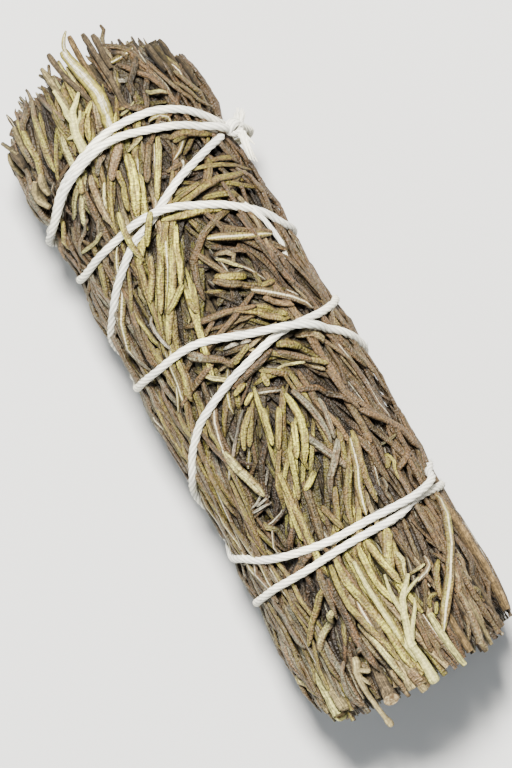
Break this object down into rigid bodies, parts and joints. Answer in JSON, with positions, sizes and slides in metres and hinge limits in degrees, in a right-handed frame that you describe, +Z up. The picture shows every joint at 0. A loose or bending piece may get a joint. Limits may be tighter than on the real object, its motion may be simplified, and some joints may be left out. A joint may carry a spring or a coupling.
{
  "type": "rosemary bundle",
  "caption": "Bundle of dried rosemary sprigs lying on its side, bound with spirally wound white cotton string tied in a knot, with cut stems and ragged needles at both ends.",
  "frame": {"origin": "on the table, under the middle of the bundle's box", "axes": "+X along the bundle towards the flat-cut end, +Y towards the knot's side, +Z up from the table"},
  "size_m": [0.1127, 0.0359, 0.0339],
  "materials": {
    "green_needles": "dry, matte",
    "brown_needles": "dry, matte",
    "inner_needles": "dry, matte",
    "bare_wood": "dry, matte",
    "string": "soft, matte"
  },
  "bodies": {
    "root": {"sprig_01": "brown_needles", "sprig_02": "green_needles", "sprig_03": "brown_needles", "sprig_04": "brown_needles", "sprig_05": "brown_needles", "sprig_06": "brown_needles", "sprig_07": "green_needles", "sprig_08": "green_needles", "sprig_09": "green_needles", "sprig_10": "green_needles", "sprig_11": "green_needles", "sprig_12": "brown_needles", "inner_sprig_01": "inner_needles", "inner_sprig_02": "inner_needles", "inner_sprig_03": "inner_needles", "inner_sprig_04": "inner_needles", "inner_sprig_05": "inner_needles", "inner_sprig_06": "inner_needles", "heart_sprig": "inner_needles", "pale_stem": "bare_wood", "forked_stem_left": "bare_wood", "forked_stem_right": "bare_wood", "knob_stalk": "bare_wood", "brown_twig": "bare_wood", "string": "string"}
  },
  "joints": []
}
